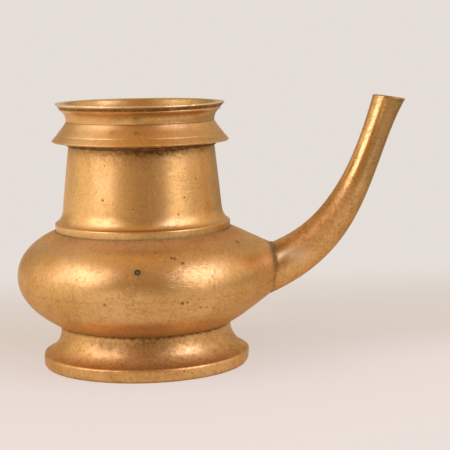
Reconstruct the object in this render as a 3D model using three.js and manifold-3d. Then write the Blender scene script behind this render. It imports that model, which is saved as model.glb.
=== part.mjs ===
// A spouted brass water pot: cast and turned pieces brazed together round one upright axis.
// Millimetres, +Z up, the spout towards +X, standing on z = 0.
import * as THREE from "three";
import { ConvexGeometry } from "three/addons/geometries/ConvexGeometry.js";
import { mergeVertices } from "three/addons/utils/BufferGeometryUtils.js";
import Module from "manifold-3d";

const wasm = await Module();
wasm.setup();

// Driving dimensions. Radii are from the pot's axis and heights from the floor.
const HEIGHT = 150;
const FOOT_RADIUS = 59.1;
const FOOT_BAND_TOP = 6;
const WAIST_RADIUS = 48.9;
const BELLY_RADIUS = 72.6;
const BELLY_HEIGHT = 51.9;
const BOWL_BOTTOM = 12.6;
const BOWL_SEAM = 46.9;
const SHOULDER_RADIUS = 50.2;
const SHOULDER_HEIGHT = 77.7;
const BOWL_TOP = 79.8; // the edge of the bowl's mouth, inside the neck's ring
const RING_TOP = 82;
const NECK_LOW_RADIUS = 45.4;
const NECK_LOW = 91;
const NECK_TOP_RADIUS = 40.2;
const CREASE_RADIUS = 42.3;
const CREASE = 139.7;
const COLLAR_RADIUS = 50.3;
const COLLAR_EDGE = 128.8;
const COLLAR_BOTTOM = 126.9;
const LIP_RADIUS = 48.3;
const MOUTH_RADIUS = 43.8;
const BOWL_WALL = 2;
const FOOT_WALL = 2.4;
const NECK_WALL = 2.1;
const SPOUT_WALL = 1.7;
const SPOUT_ROOT_WALL = 3.6;
const SLEEVE_RADIUS = 11.8;
const SLEEVE_BORE = 10;
const PLUG_RADIUS = 1.5;
const PLUG_HEIGHT = 63.3;
const PLUG_TURN = THREE.MathUtils.degToRad(-3);
const PLUG_DEPTH = 2.6;
const FOOT_RING = 3.8; // width of the ring that stands on the floor
const BOWL_LAP = 4; // height of the lower half's ring inside the upper half
const BOWL_LAP_WALL = 1.4;
const BOWL_LAP_ROOT = 3.3; // and its depth below the joint
const NECK_SPIGOT_WALL = 1.9; // the neck's end inside the bowl's mouth
const NECK_SPIGOT_BOTTOM = 73.5;
const NECK_LAP_WALL = 1.8; // the neck's end round the throat's spigot
const NECK_BEAD = 0.9; // the thin bead below the neck's ring
const COLLAR_HUB = 1.5; // the collar's wall at the bottom of its hub
const THROAT_SPIGOT = 5;
const THROAT_SPIGOT_WALL = 1.5;
const SLEEVE_IN = 4.5; // how far the spout's sleeve enters the bowl
const SLEEVE_OUT = 2.5; // and how far it reaches into the spout
const SEAM_HALF_WIDTH = 13.5; // of the joint between bowl and spout

// Points of the turned outlines that the dimensions above don't give, as radius and height
const FOOT_EDGE = [at(FOOT_RADIUS - 0.3, 0), at(FOOT_RADIUS, 1.2), at(FOOT_RADIUS, FOOT_BAND_TOP)];
const FOOT_SHOULDER = at(FOOT_RADIUS - 0.7, FOOT_BAND_TOP + 1.5);
const FOOT_BEND = at(52.6, 9.3);
const FOOT_RISE = at(48.6, 15.5);
const WAIST = at(WAIST_RADIUS, 21);
const FOOT_HOLLOW = at(FOOT_RADIUS - FOOT_RING + 0.4, 4.8);
const BOWL_BEND = at(30.5, BOWL_BOTTOM);
const BOWL_RISE = at(BELLY_RADIUS, 27.4);
const BELLY_RISE = at(BELLY_RADIUS, 66.2);
const BELLY_BEND = at(60.4, 73.8);
const NECK_SEAT = 80.1; // height of the neck's step above its spigot
const NECK_CURVE = at(45.9, 84.3);
const COLLAR_HOLLOW = at(43.9, 130.5);
const SKIRT_EDGE = [at(COLLAR_RADIUS - 3.6, COLLAR_EDGE + 0.9), at(COLLAR_RADIUS - 0.9, COLLAR_EDGE - 0.8)];
const SKIRT_STEP = [at(47.8, 131.9), at(47.4, 132.7), at(43.9, 136.7)];
const THROAT_CURVE = at(42.4, 143.8);
const THROAT_TOP = at(45.5, 146);
const LIP_UNDERCUT = [at(45.9, 146.5), at(46.1, 147.2)];
const LIP_EDGE = [
  at(LIP_RADIUS - 0.2, HEIGHT - 1.1),
  at(LIP_RADIUS, HEIGHT - 0.6),
  at(LIP_RADIUS - 0.3, HEIGHT),
];
const MOUTH_EDGE = at(MOUTH_RADIUS - 0.4, HEIGHT - 0.5);
const MOUTH_CURVE = at(41.2, 144.4);

// The spout's top and bottom outlines, seen from the side as x and z from the pot's axis
const SPOUT_TOP = new THREE.CubicBezierCurve(
  new THREE.Vector2(73.65, 67.25),
  new THREE.Vector2(105.5, 77.7),
  new THREE.Vector2(121.8, 109.4),
  new THREE.Vector2(133.85, 150.6),
);
const SPOUT_BOTTOM = new THREE.CubicBezierCurve(
  new THREE.Vector2(72.05, 37.6),
  new THREE.Vector2(131.1, 61.2),
  new THREE.Vector2(131.3, 111.3),
  new THREE.Vector2(152.4, 148),
);

// Clearances: between turned pieces, and round the pieces that a boolean cuts
const JOINT = 0.2;
const FIT = 0.3;
const SEAM = 1.5; // the brazed layer between the bowl and the spout
const PROUD = 0.1; // how far brazing metal and the plug stand out
const FILLET = 2; // the height of a fillet

// Facets
const TURN_STEPS = 40;
const SPOUT_SIDES = 24;
const PLUG_SIDES = 16;
const SPOUT_STEPS = 16;
const MERGE = 1e-4;
const REACH = 400; // longer than the pot, for the blocks that trim a piece
const PAST = 1; // how far a cutter goes on past what it cuts
const BORE_END = 1.04; // the same, as a share of the spout's length

const up = new THREE.Vector3(0, 0, 1);

const polished = new THREE.Color(0.69, 0.44, 0.19);
const worn = new THREE.Color(0.62, 0.39, 0.16);
const filler = new THREE.Color(0.3, 0.25, 0.13);
const stain = new THREE.Color(0.2, 0.2, 0.12);

function brass(color, roughness) {
  return new THREE.MeshStandardMaterial({ color, roughness, metalness: 1 });
}

function at(r, z) {
  return new THREE.Vector2(r, z);
}

function bend(a, b, c, steps) {
  return new THREE.QuadraticBezierCurve(a, b, c).getPoints(steps);
}

function sweep(a, b, c, d, steps) {
  return new THREE.CubicBezierCurve(a, b, c, d).getPoints(steps);
}

// A solid of revolution about +Z. The outline runs anticlockwise, up the outside and down the inside.
function turned(outline) {
  const onAxis = outline[0].x === 0;
  const points = onAxis ? outline : [...outline, outline[0]];
  return new THREE.LatheGeometry(points, TURN_STEPS).rotateX(Math.PI / 2);
}

// The outline moved towards the axis by a wall's thickness, along its own normals
function inset(outline, wall) {
  return outline.map((p, i) => {
    const before = outline[Math.max(i - 1, 0)];
    const after = outline[Math.min(i + 1, outline.length - 1)];
    const along = after.clone().sub(before).normalize();
    return at(p.x - along.y * wall, p.y + along.x * wall);
  });
}

// The part of a rising outline between two heights, with its cut ends put exactly there
function between(outline, low, high) {
  const cut = [];
  for (let i = 0; i < outline.length; i++) {
    const p = outline[i];
    const q = outline[i - 1];
    for (const level of [low, high]) {
      if (q && q.y < level && p.y > level) {
        cut.push(q.clone().lerp(p, (level - q.y) / (p.y - q.y)));
      }
    }
    if (p.y >= low && p.y <= high) {
      cut.push(p);
    }
  }
  return cut;
}

// The height of an outline at a radius
function heightAt(outline, r) {
  for (let i = 1; i < outline.length; i++) {
    const p = outline[i - 1];
    const q = outline[i];
    if ((p.x - r) * (q.x - r) <= 0 && p.x !== q.x) {
      return THREE.MathUtils.mapLinear(r, p.x, q.x, p.y, q.y);
    }
  }
  throw new Error("the outline doesn't reach radius " + r);
}

// The share of a rising curve's length parameter at which it reaches a height
function shareAt(curve, height) {
  let [low, high] = [0, 1];
  while (high - low > MERGE) {
    const middle = (low + high) / 2;
    [low, high] = curve.getPoint(middle).y < height ? [middle, high] : [low, middle];
  }
  return low;
}

function solidOf(geometry) {
  const bare = new THREE.BufferGeometry();
  bare.setAttribute("position", geometry.getAttribute("position"));
  bare.setIndex(geometry.getIndex());
  const merged = mergeVertices(bare, MERGE);
  const corners = merged.index.array;
  const triangles = [];
  for (let i = 0; i < corners.length; i += 3) {
    const [a, b, c] = corners.slice(i, i + 3);
    if (a !== b && b !== c && c !== a) {
      triangles.push(a, b, c);
    }
  }
  return new wasm.Manifold(
    new wasm.Mesh({
      numProp: 3,
      vertProperties: merged.attributes.position.array,
      triVerts: new Uint32Array(triangles),
    }),
  );
}

function geometryOf(solid) {
  const { vertProperties, triVerts } = solid.getMesh();
  const geometry = new THREE.BufferGeometry();
  geometry.setAttribute("position", new THREE.BufferAttribute(vertProperties, 3));
  geometry.setIndex(new THREE.BufferAttribute(triVerts, 1));
  geometry.computeVertexNormals();
  return geometry;
}

// A closed solid through a row of rings that all have the same number of points
function lofted(rings) {
  const sides = rings[0].length;
  const points = rings.flat();
  const indices = [];
  for (let k = 1; k < rings.length; k++) {
    for (let i = 0; i < sides; i++) {
      const a = (k - 1) * sides + i;
      const b = (k - 1) * sides + ((i + 1) % sides);
      indices.push(a, b, a + sides, b, b + sides, a + sides);
    }
  }
  for (let i = 2; i < sides; i++) {
    const last = points.length - sides;
    indices.push(0, i, i - 1);
    indices.push(last, last + i - 1, last + i);
  }
  const geometry = new THREE.BufferGeometry().setFromPoints(points);
  geometry.setIndex(indices);
  return geometry;
}

// A block whose face goes through a point, square to a direction, and that fills everything beyond it
function beyond(origin, normal) {
  const block = new THREE.BoxGeometry(REACH, REACH, REACH);
  block.translate(0, 0, REACH / 2);
  block.applyQuaternion(turnTo(normal));
  block.translate(origin.x, origin.y, origin.z);
  return solidOf(block);
}

function turnTo(direction) {
  return new THREE.Quaternion().setFromUnitVectors(up, direction);
}

// A round bar from one point along a direction
function bar(start, direction, radius, length, sides = SPOUT_SIDES) {
  const shape = new THREE.CylinderGeometry(radius, radius, length, sides);
  shape.rotateX(Math.PI / 2);
  shape.translate(0, 0, length / 2);
  shape.applyQuaternion(turnTo(direction));
  shape.translate(start.x, start.y, start.z);
  return solidOf(shape);
}

function moved(point, direction, distance) {
  return point.clone().addScaledVector(direction, distance);
}

// The bowl's outline, from the middle of its bottom past the belly to the edge of its mouth
const bowlMouth = NECK_LOW_RADIUS - 1;
const bottom = at(0, BOWL_BOTTOM);
const belly = at(BELLY_RADIUS, BELLY_HEIGHT);
const shoulder = at(SHOULDER_RADIUS, SHOULDER_HEIGHT);
const bellyCurve = new THREE.CubicBezierCurve(belly, BELLY_RISE, BELLY_BEND, shoulder);
const bowlUnder = sweep(bottom, BOWL_BEND, BOWL_RISE, belly, 11);
const bowlShoulder = [...bellyCurve.getPoints(7), at(bowlMouth, BOWL_TOP)];
const bowlOutline = [...bowlUnder, ...bowlShoulder.slice(1)];
const bowlInside = inset(bowlOutline, BOWL_WALL);
bowlInside[0].x = 0;
bowlInside[bowlInside.length - 1].x = bowlMouth;

// The joint between bowl and spout: its middle, its outward direction and its half sizes
const seamTop = SPOUT_TOP.getPoint(0);
const seamBottom = SPOUT_BOTTOM.getPoint(0);
const seamMiddle = new THREE.Vector3((seamTop.x + seamBottom.x) / 2, 0, (seamTop.y + seamBottom.y) / 2);
const seamUp = new THREE.Vector3(seamTop.x - seamBottom.x, 0, seamTop.y - seamBottom.y);
const seamHalfHeight = seamUp.length() / 2;
seamUp.normalize();
const seamOut = new THREE.Vector3(0, 1, 0).cross(seamUp);

// The plug's place on the bowl's front, and its direction, square to the bowl's surface
const plugShare = shareAt(bellyCurve, PLUG_HEIGHT);
const plugPoint = bellyCurve.getPoint(plugShare);
const plugSlope = bellyCurve.getTangent(plugShare);
const plugSide = new THREE.Vector3(Math.sin(PLUG_TURN), -Math.cos(PLUG_TURN), 0);
const plugSeat = plugSide.clone().multiplyScalar(plugPoint.x).setZ(plugPoint.y);
const plugOut = plugSide.clone().multiplyScalar(plugSlope.y).setZ(-plugSlope.x).normalize();

// One ring of the spout at a share of its length, drawn in by a wall's thickness
function spoutRing(share, wall) {
  const top = SPOUT_TOP.getPoint(share);
  const bottom = SPOUT_BOTTOM.getPoint(share);
  const middle = top.clone().add(bottom).multiplyScalar(0.5);
  const half = top.clone().sub(bottom).multiplyScalar(0.5);
  const along = SPOUT_TOP.getTangent(share).add(SPOUT_BOTTOM.getTangent(share)).normalize();
  const radius = Math.abs(half.x * along.y - half.y * along.x);
  const scale = (radius - wall) / radius;
  const ring = [];
  for (let i = 0; i < SPOUT_SIDES; i++) {
    const turn = (2 * Math.PI * i) / SPOUT_SIDES;
    const rise = Math.cos(turn) * scale;
    const side = -Math.sin(turn) * radius * scale;
    ring.push(new THREE.Vector3(middle.x + half.x * rise, side, middle.y + half.y * rise));
  }
  return ring;
}

function spoutRings(from, to, wallAt) {
  const rings = [];
  for (let k = 0; k <= SPOUT_STEPS; k++) {
    const share = THREE.MathUtils.lerp(from, to, k / SPOUT_STEPS);
    rings.push(spoutRing(share, wallAt(share)));
  }
  return rings;
}

function spoutWall(share) {
  const settled = THREE.MathUtils.smoothstep(share, 0, 0.3);
  return THREE.MathUtils.lerp(SPOUT_ROOT_WALL, SPOUT_WALL, settled);
}

// The curved, tapering spout, open at both ends, with a short sleeve that enters the bowl
function spout() {
  const root = moved(seamMiddle, seamOut, SEAM / 2);
  const sleeveStart = moved(seamMiddle, seamOut, -SLEEVE_IN);
  const tube = solidOf(lofted(spoutRings(0, 1, () => 0))).intersect(beyond(root, seamOut));
  const bore = solidOf(lofted(spoutRings(0, BORE_END, spoutWall)));
  const sleeve = bar(sleeveStart, seamOut, SLEEVE_RADIUS, SLEEVE_IN + SLEEVE_OUT);
  const way = bar(moved(sleeveStart, seamOut, -PAST), seamOut, SLEEVE_BORE, SLEEVE_IN + SLEEVE_OUT);
  return geometryOf(tube.add(sleeve).subtract(bore).subtract(way));
}

// The brazed layer that fills the joint between the bowl and the spout
function spoutSolder() {
  const outline = new THREE.Shape();
  outline.absellipse(0, 0, seamHalfHeight + PROUD, SEAM_HALF_WIDTH + PROUD, 0, 2 * Math.PI, false, 0);
  const hole = new THREE.Path();
  hole.absarc(0, 0, SLEEVE_RADIUS + FIT, 0, 2 * Math.PI, true);
  outline.holes.push(hole);
  const depth = SEAM - 2 * FIT;
  const layer = new THREE.ExtrudeGeometry(outline, { depth, bevelEnabled: false, curveSegments: 16 });
  const frame = new THREE.Matrix4().makeBasis(seamUp, new THREE.Vector3(0, -1, 0), seamOut);
  frame.setPosition(moved(seamMiddle, seamOut, -depth / 2));
  return layer.applyMatrix4(frame);
}

// The bowl and the beak that it draws out towards the spout, hollowed, before it is cut in two
function bowlShell() {
  const corners = [];
  for (const p of bowlOutline) {
    for (let i = 0; i < TURN_STEPS; i++) {
      const turn = (2 * Math.PI * i) / TURN_STEPS;
      corners.push(new THREE.Vector3(p.x * Math.sin(turn), -p.x * Math.cos(turn), p.y));
    }
  }
  for (let i = 0; i < SPOUT_SIDES; i++) {
    const turn = (2 * Math.PI * i) / SPOUT_SIDES;
    const rim = moved(seamMiddle, seamUp, seamHalfHeight * Math.cos(turn));
    rim.y = SEAM_HALF_WIDTH * Math.sin(turn);
    corners.push(rim);
  }
  const face = moved(seamMiddle, seamOut, -SEAM / 2);
  const hollow = turned([...bowlInside, at(bowlMouth, NECK_LOW), at(0, NECK_LOW)]);
  return solidOf(new ConvexGeometry(corners))
    .subtract(beyond(face, seamOut))
    .subtract(solidOf(hollow))
    .subtract(sleeveHole());
}

function sleeveHole() {
  return bar(moved(seamMiddle, seamOut, -SLEEVE_RADIUS), seamOut, SLEEVE_RADIUS + FIT, 2 * SLEEVE_RADIUS);
}

// The upper half of the bowl, from its joint to the shoulder, with the hole for the plug
function upperBowl() {
  const level = new THREE.Vector3(0, 0, BOWL_SEAM + JOINT / 2);
  const holeStart = moved(plugSeat, plugOut, -2 * PLUG_DEPTH);
  const plugHole = bar(holeStart, plugOut, PLUG_RADIUS + FIT, 4 * PLUG_DEPTH, PLUG_SIDES);
  return geometryOf(bowlShell().intersect(beyond(level, up)).subtract(plugHole));
}

// The lower half, closed below, with a lap ring that stands up inside the upper half
function lowerBowl() {
  const level = new THREE.Vector3(0, 0, BOWL_SEAM - JOINT / 2);
  const [lapLow, lapTop] = [BOWL_SEAM - BOWL_LAP_ROOT, BOWL_SEAM + BOWL_LAP];
  const lapRadius = between(bowlInside, BOWL_SEAM, lapTop)[0].x - JOINT;
  const lap = turned([
    at(lapRadius - BOWL_LAP_WALL, lapLow),
    at(lapRadius, lapLow),
    at(lapRadius, lapTop),
    at(lapRadius - BOWL_LAP_WALL, lapTop),
  ]);
  return geometryOf(
    bowlShell()
      .subtract(beyond(level, up))
      .add(solidOf(lap))
      .subtract(sleeveHole()),
  );
}

// The fillet inside the bowl, where the lap ring ends against the upper half
function bowlSolder() {
  const start = BOWL_SEAM + BOWL_LAP;
  const wall = between(bowlInside, start, start + FILLET);
  const [low, high] = [wall[0].x - JOINT, wall[wall.length - 1].x - JOINT];
  const under = start + JOINT;
  const fillet = turned([at(low - BOWL_LAP_WALL, under), at(low, under), at(high, start + FILLET)]);
  return geometryOf(solidOf(fillet).subtract(sleeveHole()));
}

// The foot: a band on the floor, a rounded shoulder, and a hollow curve up to the waist
const footScotia = sweep(FOOT_SHOULDER, FOOT_BEND, FOOT_RISE, WAIST, 8);

function foot() {
  const inner = inset(footScotia, FOOT_WALL).slice(1);
  const wallTop = inner[inner.length - 1].x;
  return turned([
    at(FOOT_RADIUS - FOOT_RING, 0),
    ...FOOT_EDGE,
    ...footScotia,
    at(WAIST_RADIUS, heightAt(bowlUnder, WAIST_RADIUS) - JOINT),
    at(wallTop, heightAt(bowlUnder, wallTop) - JOINT),
    ...inner.reverse(),
    FOOT_HOLLOW,
  ]);
}

// The fillet inside the foot, under the bowl
function footSolder() {
  const wall = WAIST_RADIUS - FOOT_WALL - JOINT;
  const drop = (r) => at(r, heightAt(bowlUnder, r) - JOINT);
  return turned([drop(wall - FILLET), at(wall, drop(wall).y - FILLET), drop(wall)]);
}

// The neck: a ring that sits on the bowl's shoulder, a hollow curve and a tapering tube
function neck() {
  const seat = (r) => at(r, heightAt(bowlShoulder, r) + JOINT);
  const spigot = bowlMouth - FIT;
  const lapRadius = NECK_TOP_RADIUS - NECK_LAP_WALL;
  return turned([
    at(spigot - NECK_SPIGOT_WALL, NECK_SPIGOT_BOTTOM),
    at(spigot, NECK_SPIGOT_BOTTOM),
    at(spigot, NECK_SEAT),
    seat(bowlMouth + PAST),
    at(SHOULDER_RADIUS, SHOULDER_HEIGHT + JOINT),
    ...bend(at(SHOULDER_RADIUS, RING_TOP), NECK_CURVE, at(NECK_LOW_RADIUS, NECK_LOW), 5),
    at(NECK_TOP_RADIUS, CREASE - JOINT),
    at(lapRadius, CREASE - JOINT),
    at(lapRadius, CREASE - THROAT_SPIGOT - 2 * JOINT),
    at(NECK_LOW_RADIUS - NECK_WALL, NECK_LOW),
    at(NECK_LOW_RADIUS - NECK_WALL, RING_TOP + 2),
  ]);
}

// The thin bead outside, in the corner between the neck's ring and the shoulder
function neckSolder() {
  const seat = (r) => at(r, heightAt(bowlShoulder, r) + JOINT);
  const inner = SHOULDER_RADIUS + JOINT;
  return turned([seat(inner), seat(inner + NECK_BEAD), at(inner, seat(inner).y + NECK_BEAD)]);
}

// The outline of the neck's tube, for what is fitted round it
function neckRadius(z) {
  return THREE.MathUtils.mapLinear(z, NECK_LOW, CREASE - JOINT, NECK_LOW_RADIUS, NECK_TOP_RADIUS);
}

// The drip collar: a skirt that flares down to a sharp edge, hollow beneath, on a hub round the neck
function dripCollar() {
  const top = CREASE - JOINT;
  const bore = (z) => at(neckRadius(z) + JOINT, z);
  return turned([
    bore(COLLAR_BOTTOM),
    at(bore(COLLAR_BOTTOM).x + COLLAR_HUB, COLLAR_BOTTOM),
    COLLAR_HOLLOW,
    ...SKIRT_EDGE,
    at(COLLAR_RADIUS, COLLAR_EDGE),
    ...SKIRT_STEP,
    at(CREASE_RADIUS, top),
    bore(top),
  ]);
}

// The rough fillet under the collar, round the neck
function collarSolder() {
  const top = COLLAR_BOTTOM - JOINT;
  const wall = (z) => at(neckRadius(z) + JOINT, z);
  return turned([wall(top - FILLET), at(wall(top).x + COLLAR_HUB, top), wall(top)]);
}

// The mouth: a hollow throat that flares to a flat lip, on a spigot inside the neck
function mouthRim() {
  const spigotRadius = NECK_TOP_RADIUS - NECK_LAP_WALL - JOINT;
  const spigotBore = spigotRadius - THROAT_SPIGOT_WALL;
  return turned([
    at(spigotBore, CREASE - THROAT_SPIGOT),
    at(spigotRadius, CREASE - THROAT_SPIGOT),
    at(spigotRadius, CREASE + JOINT),
    ...bend(at(CREASE_RADIUS, CREASE + JOINT), THROAT_CURVE, THROAT_TOP, 5),
    ...LIP_UNDERCUT,
    ...LIP_EDGE,
    at(MOUTH_RADIUS, HEIGHT),
    ...bend(MOUTH_EDGE, MOUTH_CURVE, at(spigotBore, CREASE - JOINT), 4),
  ]);
}

// The plug that closes the hole of a core pin, almost flush with the bowl
function corePinPlug() {
  const start = moved(plugSeat, plugOut, -PLUG_DEPTH);
  return geometryOf(bar(start, plugOut, PLUG_RADIUS, PLUG_DEPTH + PROUD, PLUG_SIDES));
}

function piece(name, geometry, material) {
  const mesh = new THREE.Mesh(geometry, material);
  mesh.name = name;
  return mesh;
}

const pot = new THREE.Group();
pot.add(
  piece("mouth_rim", mouthRim(), brass(polished, 0.32)),
  piece("drip_collar", dripCollar(), brass(polished, 0.34)),
  piece("neck", neck(), brass(polished, 0.33)),
  piece("upper_bowl", upperBowl(), brass(worn, 0.35)),
  piece("lower_bowl", lowerBowl(), brass(worn, 0.37)),
  piece("foot", foot(), brass(polished, 0.33)),
  piece("spout", spout(), brass(worn, 0.33)),
  piece("core_pin_plug", corePinPlug(), brass(stain, 0.6)),
  piece("collar_solder", collarSolder(), brass(filler, 0.7)),
  piece("neck_solder", neckSolder(), brass(filler, 0.7)),
  piece("bowl_solder", bowlSolder(), brass(filler, 0.7)),
  piece("foot_solder", footSolder(), brass(filler, 0.7)),
  piece("spout_solder", spoutSolder(), brass(stain, 0.7)),
);

// The origin is on the floor, under the middle of the whole pot, spout included
const reach = new THREE.Box3().setFromObject(pot);
pot.position.set(-(reach.min.x + reach.max.x) / 2, 0, 0);

const waterPot = new THREE.Group();
waterPot.add(pot);
export default waterPot;
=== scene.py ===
"""A spouted brass water pot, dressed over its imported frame. Metres, +Z up, the spout towards +X."""
import math

import bmesh
import bpy
import numpy as np
from mathutils import Matrix, Vector
from mathutils.bvhtree import BVHTree


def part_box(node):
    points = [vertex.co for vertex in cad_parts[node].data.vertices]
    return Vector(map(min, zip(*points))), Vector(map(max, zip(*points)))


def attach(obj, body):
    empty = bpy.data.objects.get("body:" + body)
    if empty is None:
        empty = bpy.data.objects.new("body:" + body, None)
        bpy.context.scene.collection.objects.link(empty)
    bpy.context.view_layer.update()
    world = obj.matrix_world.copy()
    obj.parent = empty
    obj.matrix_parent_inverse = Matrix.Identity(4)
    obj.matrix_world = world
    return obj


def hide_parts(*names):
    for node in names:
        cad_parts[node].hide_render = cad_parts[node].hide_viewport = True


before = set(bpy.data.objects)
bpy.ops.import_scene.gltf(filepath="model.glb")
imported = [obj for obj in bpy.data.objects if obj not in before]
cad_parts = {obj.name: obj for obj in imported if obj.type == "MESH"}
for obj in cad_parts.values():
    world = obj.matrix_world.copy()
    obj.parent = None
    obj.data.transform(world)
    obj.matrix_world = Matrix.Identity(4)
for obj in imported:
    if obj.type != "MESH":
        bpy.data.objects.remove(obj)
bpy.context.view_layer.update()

MM = 0.001
neck_low, neck_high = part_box("neck")
AXIS_X = (neck_low.x + neck_high.x) / 2

# Every size from here on is in millimetres from the pot's axis and the floor, unless it says metres.
# A turn is measured in degrees round the pot from its front, -Y, towards the spout, +X.

# How finely the pieces are divided: round the axis or the spout, and along their outlines
SIDES = 320
BOWL_SIDES = 400
SPOUT_SIDES = 112
SPOUT_RINGS = 150
HIDDEN_SIDES, PLUG_SIDES = 200, 48
FINE = 0.8
INSIDE_STEP, HIDDEN_STEP = 5, 6

# The gap between two pieces, and the walls
JOINT = 0.2
BOWL_WALL, FOOT_WALL = 2.0, 2.4

# The neck's lean towards the spout and the back, the height it starts at, and the slip of collar and mouth
LEAN, TILT, LEAN_FROM = math.radians(0.55), math.radians(0.5), 82
SLIP = 0.45

# Heights, radii and points (r, z) that several pieces share
MOUTH_BASE, COLLAR_TOP, COLLAR_BASE = 139.78, 139.66, 126.9
NECK_TOP, NECK_LOW = (40.2, 139.5), (45.4, 91.0)
RING_UNDER, BOWL_SEAM, BAND_TOP = 77.9, 46.9, 7.4
BOWL_MOUTH = (44.4, 79.8)
WAIST = 48.9

# Bezier curves: the bowl's section as (r, z), and the spout's upper and lower line as (x, z)
BOWL_UNDER = [(0, 12.6), (30.5, 12.6), (72.6, 27.4), (72.6, 51.9)]
BOWL_OVER = [(72.6, 51.9), (72.6, 66.2), (60.4, 73.8), (50.2, 77.7)]
SPOUT_TOP = [(73.65, 67.25), (105.5, 77.7), (121.8, 109.4), (134.0, 151.2)]
SPOUT_BOTTOM = [(72.05, 37.6), (131.1, 61.2), (131.3, 111.3), (152.45, 148.3)]

# The joint between bowl and spout: half its width, how far its sides bulge out, and half the gap for the brazing
SEAM_WIDTH, SEAM_BULGE, SEAM_GAP = 13.5, 2.2, 0.4

# Radii at the spout's root: inside and outside of its sleeve, the hole for it, and the brazing metal round it
SLEEVE_IN, SLEEVE_OUT, SLEEVE_HOLE, SOLDER_IN = 10.0, 11.8, 12.1, 12.15

# The spout's walls, its mouth's radius, and its swelling: how much, and at which share of its length
ROOT_WALL, TIP_WALL, TIP_RADIUS = 3.6, 1.7, 9.3
SWELL, SWELL_AT = 0.145, 0.14

PLUG_TURN, PLUG_HEIGHT = -3, 63.3


def bezier(points, steps):
    """Points along a Bezier curve of any degree."""
    t = np.linspace(0, 1, steps + 1)[:, None]
    row = [np.array(p, float) * np.ones_like(t) for p in points]
    while len(row) > 1:
        row = [a * (1 - t) + b * t for a, b in zip(row, row[1:])]
    return row[0]


def smooth(value, low, high):
    """0 below the low value and 1 above the high one, with a smooth rise between them."""
    t = np.clip((np.asarray(value, float) - low) / (high - low), 0, 1)
    return t * t * (3 - 2 * t)


def fading(value, low, high):
    """1 below the low value and 0 above the high one."""
    return 1 - smooth(value, low, high)


def peak(value, middle, width):
    """1 at the middle, fading away over about a width on either side."""
    return np.exp(-((value - middle) / width) ** 2)


def unit(vectors):
    """One vector, or each of an array's rows, at length 1."""
    return vectors / np.linalg.norm(vectors, axis=-1, keepdims=True)


def circle(sides):
    """Even angles all the way round."""
    return np.arange(sides) * 2 * math.pi / sides


spout_turns = circle(SPOUT_SIDES)


def eased(corners, steps):
    """An open outline through corners (r, z) or (r, z, size). A size rounds that corner off."""
    out = []
    for i, corner in enumerate(corners):
        p = np.array(corner[:2], float)
        if len(corner) < 3:
            out.append(p)
            continue
        before = np.array(corners[i - 1][:2], float) - p
        after = np.array(corners[i + 1][:2], float) - p
        a = p + before * min(corner[2] / np.linalg.norm(before), 0.45)
        b = p + after * min(corner[2] / np.linalg.norm(after), 0.45)
        out.extend(bezier([a, p, b], steps))
    return np.array(out)


def divided(outline, step):
    """The outline with its longer stretches divided."""
    out = [outline[0]]
    for a, b in zip(outline, outline[1:]):
        count = max(1, math.ceil(np.linalg.norm(b - a) / step))
        out.extend(a + (b - a) * k / count for k in range(1, count + 1))
    return np.array(out)


def spaced(outline, step):
    """A smooth curve's points, set again at even distances of about a step."""
    run = np.concatenate([[0], np.cumsum(np.linalg.norm(np.diff(outline, axis=0), axis=1))])
    at = np.linspace(0, run[-1], max(2, round(run[-1] / step) + 1))
    return np.stack([np.interp(at, run, outline[:, k]) for k in (0, 1)], 1)


def inset(outline, wall):
    """The outline moved towards the axis by a wall's thickness."""
    along = unit(np.gradient(outline, axis=0))
    return outline + np.stack([-along[:, 1], along[:, 0]], 1) * wall


def waves(seed, size):
    """A smooth random field over points in millimetres, about -1 to 1, with bumps of about the size given."""
    count = 26
    rng = np.random.default_rng(seed)
    way = unit(rng.normal(size=(count, 3)))
    rates = way * (math.pi / (size * rng.uniform(0.7, 1.6, count)))[:, None]
    phases = rng.uniform(0, 2 * math.pi, count)

    def field(points):
        return np.sin(points @ rates.T + phases).sum(1) * 1.3 / math.sqrt(count)

    return field


sway, ripple, grit = waves(3, 34), waves(5, 11), waves(8, 2.4)


def on_pot(turn, r, z):
    """The point at a turn, a distance from the axis and a height."""
    angle = math.radians(turn)
    return np.array([r * math.sin(angle), -r * math.cos(angle), z])


def from_axis(points):
    return np.hypot(points[:, 0], points[:, 1])


def turned_to(points):
    """The turn of each point round the pot."""
    return np.degrees(np.arctan2(points[:, 0], -points[:, 1]))


def uneven(points, amount):
    """Hand-turned and long used metal: the wall wanders a little in and out."""
    r = from_axis(points)
    push = amount * (0.75 * sway(points) + 0.3 * ripple(points)) * smooth(r, 2, 20)
    out = points.copy()
    out[:, :2] += points[:, :2] / np.maximum(r, 1)[:, None] * push[:, None]
    return out


def leaned(points, slip=0.0):
    """The neck and all on it lean a little towards the spout and the back. A slip sets them off centre."""
    rise = np.clip(points[:, 2] - LEAN_FROM, 0, None)
    tilted = smooth(points[:, 2], 78, 92)
    out = points.copy()
    out[:, 0] += LEAN * rise - slip
    out[:, 1] += TILT * rise
    out[:, 2] -= tilted * (LEAN * points[:, 0] + TILT * points[:, 1])
    return out


def nicked(points, marks):
    """Small dents and nicks, each (turn, r, z, half width, depth), pushed in towards the axis."""
    out = points.copy()
    r = from_axis(points)
    inward = -points[:, :2] / np.maximum(r, 1)[:, None]
    for turn, radius, z, size, depth in marks:
        far = np.linalg.norm(points - on_pot(turn, radius, z), axis=1)
        out[:, :2] += inward * (depth * peak(far, 0, size))[:, None]
    return out


def revolved(outline, sides):
    """Rows of points round the axis, one row for each point of the outline."""
    angle = circle(sides)
    ring = np.stack([np.sin(angle), -np.cos(angle)], 1)
    points = np.zeros((len(outline), sides, 3))
    points[:, :, :2] = outline[:, 0, None, None] * ring
    points[:, :, 2] = outline[:, 1, None]
    return points


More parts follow.
